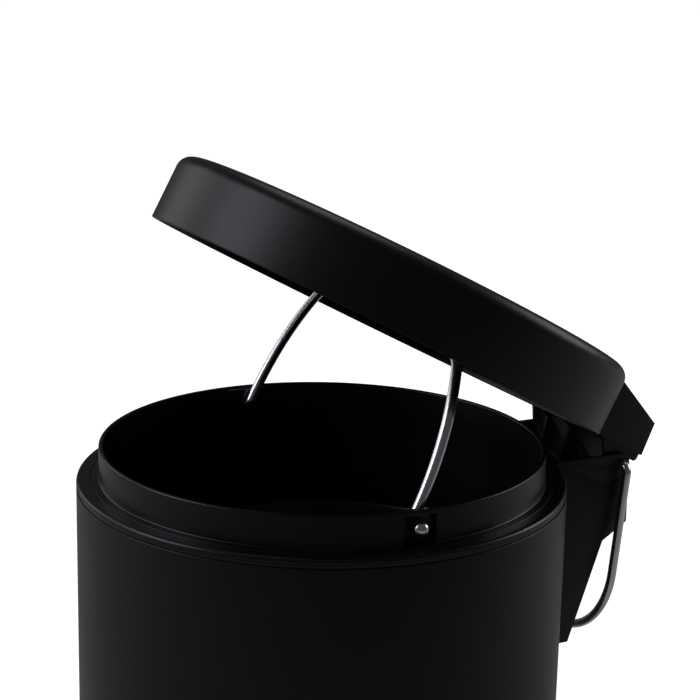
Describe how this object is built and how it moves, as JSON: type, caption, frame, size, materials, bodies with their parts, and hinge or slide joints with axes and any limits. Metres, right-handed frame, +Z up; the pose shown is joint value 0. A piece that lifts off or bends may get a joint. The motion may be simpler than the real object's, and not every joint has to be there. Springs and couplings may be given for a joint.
{
  "type": "pedal bin",
  "caption": "Round black steel pedal bin with a hinged lid, pedal, push rod, lift-out plastic bucket with a wire bail, and a wire carry handle at the back.",
  "frame": {"origin": "centre of the round shell at floor level, under the foot ring", "axes": "+Z up, the pedal at the front (-Y), the lid's hinge at the back (+Y), +X to the right as seen from the front"},
  "size_m": [0.1704, 0.2464, 0.3398],
  "materials": {
    "black_paint": "satin black powder coat",
    "black_plastic": "moulded, lightly satin",
    "chrome_wire": "bright plated wire",
    "zinc_steel": "zinc plated",
    "black_rubber": "matte"
  },
  "bodies": {
    "can": {"outer_shell": "black_paint", "top_ring": "black_plastic", "inner_bucket": "black_plastic", "base_ring": "black_plastic", "base_plate": "zinc_steel", "base_screws": "zinc_steel", "foot_ring": "black_rubber", "pedal_bracket": "zinc_steel", "pedal_bracket_rivets": "zinc_steel", "pedal_axle": "zinc_steel", "axle_clips": "zinc_steel", "pedal_bushes": "black_plastic", "rear_bracket": "black_paint", "bracket_rivets": "black_paint", "hinge_pin": "black_paint", "hinge_pin_nut": "black_paint", "hinge_bushes": "black_plastic"},
    "lid": {"lid_shell": "black_paint", "lid_bracket": "black_paint", "lid_rivets": "black_paint", "lid_yoke": "black_paint"},
    "pedal": {"pedal_lever": "black_paint", "pedal_pad": "black_rubber"},
    "push_rod": {"push_rod": "zinc_steel", "rod_clips": "zinc_steel"},
    "bail": {"bucket_bail": "chrome_wire"},
    "carry_handle": {"carry_handle": "chrome_wire"}
  },
  "joints": [
    {"name": "lid_hinge", "type": "hinge", "parent": "can", "child": "lid", "pos_m": [0, 0.108, 0.2173], "axis": [-1, 0, 0], "range_deg": [-28.4, 51.6]},
    {"name": "pedal_hinge", "type": "hinge", "parent": "can", "child": "pedal", "pos_m": [0, -0.01, 0.019], "axis": [1, 0, 0], "range_deg": [-4.47, 8.1]},
    {"name": "rod_slide", "type": "slide", "parent": "can", "child": "push_rod", "axis": [0, 0, 1], "range_m": [-0.00681, 0.01236]},
    {"name": "bail_hinge", "type": "hinge", "parent": "can", "child": "bail", "pos_m": [0, 0, 0.2353], "axis": [0.9978, -0.0663, 0], "range_deg": [-52.84, 96]},
    {"name": "handle_swing", "type": "hinge", "parent": "can", "child": "carry_handle", "pos_m": [0, 0.1086, 0.2262], "axis": [1, 0, 0], "range_deg": [-3, 97]}
  ],
  "couplings": [
    {"joint": "pedal_hinge", "follows": "lid_hinge", "ratio": 0.15657},
    {"joint": "rod_slide", "follows": "lid_hinge", "m_per_rad": 0.0137},
    {"joint": "bail_hinge", "follows": "lid_hinge", "ratio": 1.86}
  ]
}
